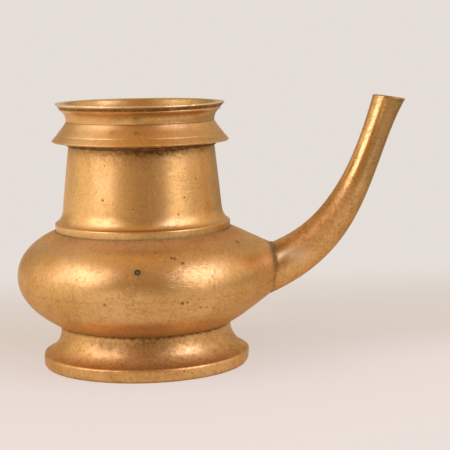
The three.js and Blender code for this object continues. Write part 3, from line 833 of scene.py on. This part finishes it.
def bowl():
    """The bowl's two halves with their beak, cut off at the joint and pierced for the spout's sleeve and the plug.

    Returns the radius of the lap ring inside the joint.
    """
    low, high, inner, upper = bowl_outlines()
    together = revolved(np.vstack([low, high[1:]]), BOWL_SIDES)
    middle, reach = beak_reach(together)
    drawn = middle + (together - middle) * reach[:, :, None]
    inside_seam = np.interp(BOWL_SEAM, inner[:, 1], inner[:, 0])
    lap, lap_low, lap_high = inside_seam - JOINT, 43.6, 50.9
    lap_in = lap - 1.4
    below = inner[inner[:, 1] < lap_low][::-1]
    low_inside = np.vstack([
        [(lap, BOWL_SEAM - 0.03), (lap, lap_high), (lap_in, lap_high), (lap_in, lap_low)],
        below[below[:, 0] < lap_in],
    ])
    above = np.vstack([inner[inner[:, 1] > BOWL_SEAM + 0.3], upper[1:]])
    high_inside = np.vstack([above[::-1], [(inside_seam, BOWL_SEAM + 0.03)]])
    marks = [
        (60.4, 61, 72.5, 2.2, 0.25), (-7, 70.5, 61.3, 0.75, 0.34), (-38, 72.6, 57, 7, 0.2), (25, 72, 60, 9, 0.25),
        (140, 72, 55, 8, 0.3), (-120, 72, 50, 7, 0.25),
    ]
    halves = []
    for name, outer, inside, edge, lift in (
        ("lower_bowl_metal", drawn[:len(low)], low_inside, -1, -0.012),
        ("upper_bowl_metal", drawn[len(low) - 1:], high_inside, 0, 0.012),
    ):
        outer = outer.copy()
        outer[edge, :, 2] += lift
        rows = np.concatenate([outer, revolved(divided(inside, HIDDEN_STEP), BOWL_SIDES)])
        points = nicked(uneven(rows.reshape(-1, 3), 0.16), marks)
        faces = rows_to_faces(len(rows), BOWL_SIDES, closed=lift > 0)
        halves.append(build(name, points, faces, seamless=lift < 0))
    lower_half, upper_half = halves
    tools = [seam_cutter(), bar("sleeve_hole", seam_middle - seam_out * 12, seam_out, SLEEVE_HOLE, 20, 72)]
    plug_hole = bar("plug_hole", plug_seat - plug_out * 6, plug_out, 1.62, 12, PLUG_SIDES)
    for half in halves:
        for tool in tools:
            cut(half, tool)
    cut(upper_half, plug_hole)
    for tool in [*tools, plug_hole]:
        bpy.data.objects.remove(tool)

    surface = np.vstack([bezier(BOWL_UNDER, 60), bezier(BOWL_OVER, 30)[1:], [BOWL_MOUTH]])

    def is_in(p):
        return from_axis(p) < np.interp(p[:, 2], surface[:, 1], surface[:, 0]) - 1.2

    def near_seam(p):
        return seam_fade(p, 1.7) * (p[:, 0] > 60)

    def lower_stain_and_shade(p):
        line = 0.2 * peak(p[:, 2], BOWL_SEAM, 0.5) * (0.5 + 0.5 * np.sin(turned_to(p) / 5))
        # Painted shade: the underside darkens towards the foot
        return 0.2 * fading(p[:, 2], 22, 30) + line + 0.5 * is_in(p) + 0.2 * near_seam(p)

    def upper_stain_and_shade(p):
        line = 0.08 * peak(p[:, 2], BOWL_SEAM, 0.4)
        # Darker at the joint under the neck's ring and on the shoulder just below it
        ring = 0.25 * peak(p[:, 2], RING_UNDER, 0.4) + 0.12 * smooth(p[:, 2], 72, 76.5)
        return line + ring + 0.45 * is_in(p) + 0.3 * near_seam(p)

    def green(p):
        plug = 0.8 * peak(np.linalg.norm(p - plug_seat, axis=1), 0, 2.2)
        return 0.95 * near_seam(p) + plug + 0.3 * is_in(p)

    def dull(p):
        top, bottom = smooth(p[:, 2], 71, 76), 0.8 * fading(p[:, 2], 26, 34)
        return np.maximum(np.maximum(top, bottom), 0.7 * smooth(p[:, 0], 58, 70))

    def painted_highlight(p):
        # Painted highlight: the shoulder made paler, most on its left where the lamp falls, and the top of the beak
        # a little
        left = 0.2 + 0.8 * peak(turned_to(p), -35, 34)
        shoulder = 0.3 * smooth(p[:, 2], 64, 72) * left * (p[:, 0] < 62)
        beak = 0.14 * smooth(p[:, 0], 62, 70) * smooth(p[:, 2], 54, 62)
        return np.maximum(shoulder, beak)

    finished(lower_half, "lower_bowl", lower_brass, lower_stain_and_shade, green, dull)
    finished(upper_half, "upper_bowl", upper_brass, upper_stain_and_shade, green, dull, painted_highlight)
    return lap


def curve_point(points, share):
    """A cubic curve's point and direction."""
    a, b, c, d = (np.array(p, float) for p in points)
    t = share
    point = (1 - t) ** 3 * a + 3 * (1 - t) ** 2 * t * b + 3 * (1 - t) * t * t * c + t ** 3 * d
    tangent = 3 * (1 - t) ** 2 * (b - a) + 6 * (1 - t) * t * (c - b) + 3 * t * t * (d - c)
    return point, unit(tangent)


def spout_ring(share, wall=0.0):
    """One ring of the spout at a share of its length, drawn in by a wall's thickness."""
    top, top_way = curve_point(SPOUT_TOP, share)
    bottom, bottom_way = curve_point(SPOUT_BOTTOM, share)
    half, centre, along = (top - bottom) / 2, (top + bottom) / 2, unit(top_way + bottom_way)
    radius = abs(half[0] * along[1] - half[1] * along[0])
    scale = (radius - wall) / radius
    swell = 1 + SWELL * share / SWELL_AT * math.exp(1 - share / SWELL_AT)
    rise, side = np.cos(spout_turns) * scale, -np.sin(spout_turns) * radius * scale * swell
    ring = np.stack([centre[0] + half[0] * rise, side, centre[1] + half[1] * rise], 1)
    fade = np.clip(1 - share / 0.12, 0, 1) ** 2
    return ring + seam_out * ((SEAM_GAP + bulge(spout_turns)) * fade)[:, None]


def spout():
    """A curved, tapering tube with a slightly flared mouth, and a sleeve that enters the bowl."""
    outer = [spout_ring(share) for share in np.linspace(0, 1, SPOUT_RINGS + 1) ** 1.05]
    end = outer[-1]
    tip, tip_way = end.mean(0), unit((end - outer[-2]).mean(0))
    outer[-1] = end - tip_way * 0.35
    lip = []
    for draw, back in ((0.12, 0.12), (0.35, 0.02), (0.85, 0.1), (1.35, 0.05), (1.7, 0.35)):
        lip.append(tip + (end - tip) * (1 - draw / TIP_RADIUS) - tip_way * back)
    inner = []
    for share in np.linspace(0.985, 0.035, 46):
        inner.append(spout_ring(share, ROOT_WALL + (TIP_WALL - ROOT_WALL) * smooth(share, 0, 0.3)))
    sleeve = []
    for radius, out in (
        (SLEEVE_IN, 2.4), (SLEEVE_IN, -1.0), (SLEEVE_IN, -4.5), (SLEEVE_OUT, -4.5), (SLEEVE_OUT, -1.0),
        (SLEEVE_OUT, SEAM_GAP + 0.6 * bulge(spout_turns)),
    ):
        sleeve.append(seam_ring(radius, radius, out, spout_turns))
    rows = np.array([*outer, *lip, *inner, *sleeve])
    points = rows.reshape(-1, 3)
    push = (0.09 * sway(points * 1.2) + 0.012 * ripple(points)) * smooth(points[:, 0], 74, 84)
    away = unit(points - np.repeat(rows.mean(1), SPOUT_SIDES, 0))
    made = build("spout_metal", points + away * push[:, None], rows_to_faces(len(rows), SPOUT_SIDES))

    def stain_and_shade(p):
        cloud = 0.12 * smooth(0.5 * ripple(p * 0.8) + 0.5, 0.4, 1.0)
        return 0.3 * seam_fade(p, 1.5) + cloud + 0.35 * peak((p - tip) @ tip_way, 0, 1.2)

    def green(p):
        return 0.8 * seam_fade(p, 1.6)

    def dull(p):
        return fading(p[:, 2], 86, 112) * (0.4 + 0.6 * smooth(p[:, 0], 78, 90))

    def painted_highlight(p):
        # Painted highlight: a bright patch at the spout's root, beside the joint
        far = (p - [83.0, -13.0, 62.0]) / [9.0, 6.0, 3.4]
        return np.exp(-(far ** 2).sum(1))

    finished(made, "spout", spout_brass, stain_and_shade, green, dull, painted_highlight)


def spout_solder():
    """The line round the spout's root, thicker at its top and bare in its lower half."""
    sides = 160
    angle = circle(sides)
    from_top = np.degrees(np.minimum(angle, 2 * math.pi - angle))
    size = 0.07 * grit(seam_ring(seam_height, SEAM_WIDTH, 0, angle)) + 0.35 * peak(from_top, 0, 14)
    rows = []
    for shift, draw in ((-0.37, 0.4), (-0.34, 0.06), (-0.12, 0.0), (0.1, 0.0), (0.34, 0.06), (0.37, 0.4)):
        out = bulge(angle) + shift
        ring = seam_ring(seam_height, SEAM_WIDTH, out, angle)
        away = unit(ring - (seam_middle + seam_out * out[:, None]))
        rows.append(ring + away * (size - draw)[:, None])
    for shift in (0.3, -0.3):
        rows.append(seam_ring(SOLDER_IN, SOLDER_IN, 0.7 * bulge(angle) + shift, angle))
    made = build("spout_solder_bead", np.array(rows), rows_to_faces(len(rows), sides))

    def bare(p):
        return 0.95 * fading(seam_share(p), 0.0, 0.6)

    finished(made, "spout_solder", seam_braze, bare, sharp=80)


def bead(node, corners, lumps, material, sides=SIDES, lean=False):
    """A lumpy fillet of brazing metal round the axis, through the corners of its section."""
    outline = divided(eased([*corners, corners[0]], 3), 0.6)[:-1]
    points = revolved(outline, sides).reshape(-1, 3)
    middles = np.repeat(revolved(outline.mean(0)[None], sides), len(outline), 0).reshape(-1, 3)
    away = points - middles
    points = points + away * np.clip(lumps * grit(middles + away * 0.4), -0.6, 0.6)[:, None]
    made = build(node + "_bead", leaned(points) if lean else points, rows_to_faces(len(outline), sides))
    finished(made, node, material, sharp=80)


def solders(lap):
    """The fillets under the collar, below the neck's ring, inside the bowl and inside the foot."""
    r = neck_radius(126.0) + 0.25
    collar = [(r + 0.1, 125.5), (r + 0.8, 126.0, 0.3), (r + 1.0, 126.6), (r, 126.6)]
    bead("collar_solder", collar, 0.35, braze, lean=True)
    bead("neck_solder", [(50.28, 77.82), (50.62, 77.66), (50.5, 77.95), (50.28, 78.1)], 0.08, seam_braze)
    side = lap + 0.05
    bead("bowl_solder", [(lap - 1.1, 51.1), (side, 51.1), (side, 52.6)], 0.25, braze, HIDDEN_SIDES)
    leg = 2.2
    wall = WAIST - FOOT_WALL - JOINT
    top = under_bowl(wall) - JOINT
    foot_corners = [(wall - leg, under_bowl(wall - leg) - JOINT), (wall, top - leg), (wall, top)]
    bead("foot_solder", foot_corners, 0.25, braze, HIDDEN_SIDES)


def core_pin_plug():
    """The round plug in the front of the bowl, with an uneven face."""
    across = unit(np.cross(plug_out, [0, 0, 1.0]))
    up = np.cross(across, plug_out)
    rows = []
    for radius, out in (
        (0, 0.0), (0.5, 0.02), (0.85, -0.06), (1.05, -0.3), (1.3, -0.5), (1.5, -0.7), (1.5, -2.6), (0, -2.6),
    ):
        rows.append(plug_seat + ring_about(across, up, radius, PLUG_SIDES) + plug_out * out)
    rows = np.array(rows)
    face = rows[1:5]
    face += plug_out * (0.06 * waves(12, 0.6)(face.reshape(-1, 3))).reshape(len(face), PLUG_SIDES, 1)
    made = build("core_pin_plug_metal", rows, rows_to_faces(len(rows), PLUG_SIDES, closed=False), seamless=True)
    finished(made, "core_pin_plug", plug_metal, sharp=60)


mouth_rim()
drip_collar()
neck()
foot()
lap_radius = bowl()
spout()
spout_solder()
solders(lap_radius)
core_pin_plug()

# The camera, at the photograph's viewing angle, with angles in radians and its place in metres
YAW, PITCH, ROLL = 0.0521, 0.1369, 0.0223
CAMERA_Y, CAMERA_Z = -0.90585, 0.20297
forward = Vector((math.sin(YAW) * math.cos(PITCH), math.cos(YAW) * math.cos(PITCH), -math.sin(PITCH)))
level = Vector((math.cos(YAW), -math.sin(YAW), 0))
upright = Vector((math.sin(YAW) * math.sin(PITCH), math.cos(YAW) * math.sin(PITCH), math.cos(PITCH)))
right = level * math.cos(ROLL) - upright * math.sin(ROLL)
above = level * math.sin(ROLL) + upright * math.cos(ROLL)
camera_data = bpy.data.cameras.new("camera")
camera_data.lens = 126.97
camera_data.sensor_width = 36
camera = bpy.data.objects.new("camera", camera_data)
camera.matrix_world = Matrix((
    (right.x, above.x, -forward.x, AXIS_X),
    (right.y, above.y, -forward.y, CAMERA_Y),
    (right.z, above.z, -forward.z, CAMERA_Z),
    (0, 0, 0, 1),
))
bpy.context.scene.collection.objects.link(camera)
bpy.context.scene.camera = camera


def direction(azimuth, elevation):
    """A direction from the pot. Azimuth runs from the front towards the spout, and elevation upward."""
    turn, rise = math.radians(azimuth), math.radians(elevation)
    return Vector((math.sin(turn) * math.cos(rise), -math.cos(turn) * math.cos(rise), math.sin(rise)))


# The height that the lamps face, and their distance from there, in metres
LAMP_AIM, LAMP_DISTANCE = 0.08, 0.95


def softbox(name, azimuth, elevation, width, height, radiance, tint):
    """A soft lamp that faces the pot. Sizes are in metres."""
    data = bpy.data.lights.new(name, "AREA")
    data.shape = "RECTANGLE"
    data.size, data.size_y = width, height
    data.energy = radiance * math.pi * width * height
    data.color = tint
    lamp = bpy.data.objects.new(name, data)
    way = direction(azimuth, elevation)
    lamp.location = Vector((AXIS_X, 0, LAMP_AIM)) + way * LAMP_DISTANCE
    lamp.rotation_euler = way.to_track_quat("Z", "Y").to_euler()
    bpy.context.scene.collection.objects.link(lamp)


softbox("left_box", -59, 29, 0.66, 0.68, 1.6, (1, 1.06, 1.6))
softbox("right_box", 55, 33, 0.6, 0.56, 2.1, (1, 1.13, 1.9))
softbox("low_box", 50, 4, 0.44, 0.36, 1.2, (1, 1.02, 1.15))

WALL, SHADE_BAND, NEAR = colour(0.785, 0.733, 0.69), colour(0.70, 0.63, 0.57), colour(0.82, 0.75, 0.69)
PAPER, WHITE = colour(0.88, 0.82, 0.76), colour(1.0, 1.0, 1.0)
WARM_ROOM, PALE_ROOM = colour(1.0, 0.68, 0.36), colour(1.0, 0.92, 0.85)

# Brighter and darker places: azimuth, elevation, the cosines where each begins and is full, and its strength
GLOWS = [(-82, 20, 0.62, 0.94, 0.6), (86, 18, 0.62, 0.95, 0.5), (-140, 8, 0.6, 0.95, -0.1)]


def surroundings():
    """The world: a pale backdrop to the camera, and a dimmer, warmer room to the metal."""
    world = bpy.data.worlds.new("studio")
    bpy.context.scene.world = world
    s = Shader(world)
    way = s.node("TexCoord").outputs["Generated"]
    x, y, z = s.node("SeparateXYZ", {0: way}).outputs
    tone = s.mix(s.between(y, 0.0, 0.9), WARM_ROOM, PALE_ROOM)
    strength = s.times(s.between(y, -0.6, 0.6, 0.42, 0.60), s.between(x, -0.8, 0.8, 1.12, 0.86, "LINEAR"))
    strength = s.math("ADD", strength, s.between(z, 0.7, 1.0, 0.0, 0.24))
    for azimuth, elevation, low, high, gain in GLOWS:
        facing = s.vector("DOT_PRODUCT", way, direction(azimuth, elevation), "Value")
        glow = s.between(facing, low, high, 0.0, gain)
        strength = s.math("ADD", strength, glow)
        tone = s.mix(glow, tone, WHITE)
    room = s.node("Background", {"Color": tone, "Strength": strength})
    backdrop = s.node("Background", {"Color": WALL, "Strength": 1.0})
    rays = s.node("LightPath").outputs
    mirrored = s.times(rays["Is Glossy Ray"], s.between(y, 0.7, 1.0, 0.0, 0.45))
    seen = s.math("MAXIMUM", rays["Is Camera Ray"], mirrored)
    shown = s.node("MixShader", {0: seen, 1: room.outputs[0], 2: backdrop.outputs[0]})
    s.node("OutputWorld", {0: shown.outputs[0]})


def floor():
    """A pale floor that keeps the pot's shadow nearby and turns into the backdrop further away."""
    size = 4.0
    mesh = bpy.data.meshes.new("floor")
    mesh.from_pydata([(-size, -size, 0), (size, -size, 0), (size, size, 0), (-size, size, 0)], [], [(0, 1, 2, 3)])
    made = bpy.data.objects.new("floor", mesh)
    bpy.context.scene.collection.objects.link(made)
    material = bpy.data.materials.new("paper")
    s = Shader(material)
    place = s.node("TexCoord").outputs["Object"]
    far = s.distance(place, (AXIS_X, 0.0, 0.0))
    x, y = s.node("SeparateXYZ", {0: place}).outputs[:2]
    # Painted shade: a darker band behind the pot where the floor turns into the backdrop
    paint = s.mix(s.between(y, -0.03, 0.08), NEAR, SHADE_BAND)
    paint = s.mix(s.between(y, 0.14, 0.32), paint, WALL)
    paint = s.mix(s.between(far, 0.45, 1.1), paint, WALL)

    # The metal mirrors a brighter floor on its left and a dimmer one on its right
    rays = s.node("LightPath").outputs
    to_right = s.between(x, -0.25, 0.0)
    dim = s.times(to_right, s.between(far, 0.18, 0.4, 0.0, 0.5))
    strength = s.plus(1.0, (rays["Is Glossy Ray"], s.plus(0.25, (to_right, -0.2), (dim, -1.0))))
    painted = s.node("Emission", {"Color": paint, "Strength": strength})
    lit = s.node("BsdfDiffuse", {"Color": PAPER})
    seen = s.math("MAXIMUM", rays["Is Camera Ray"], rays["Is Glossy Ray"])
    share = s.times(s.between(far, 0.10, 0.36, 0.62, 1.0), seen)
    mixed = s.node("MixShader", {0: share, 1: lit.outputs[0], 2: painted.outputs[0]})
    s.node("OutputMaterial", {0: mixed.outputs[0]})
    mesh.materials.append(material)


surroundings()
floor()
bpy.context.scene.view_settings.view_transform = "Standard"
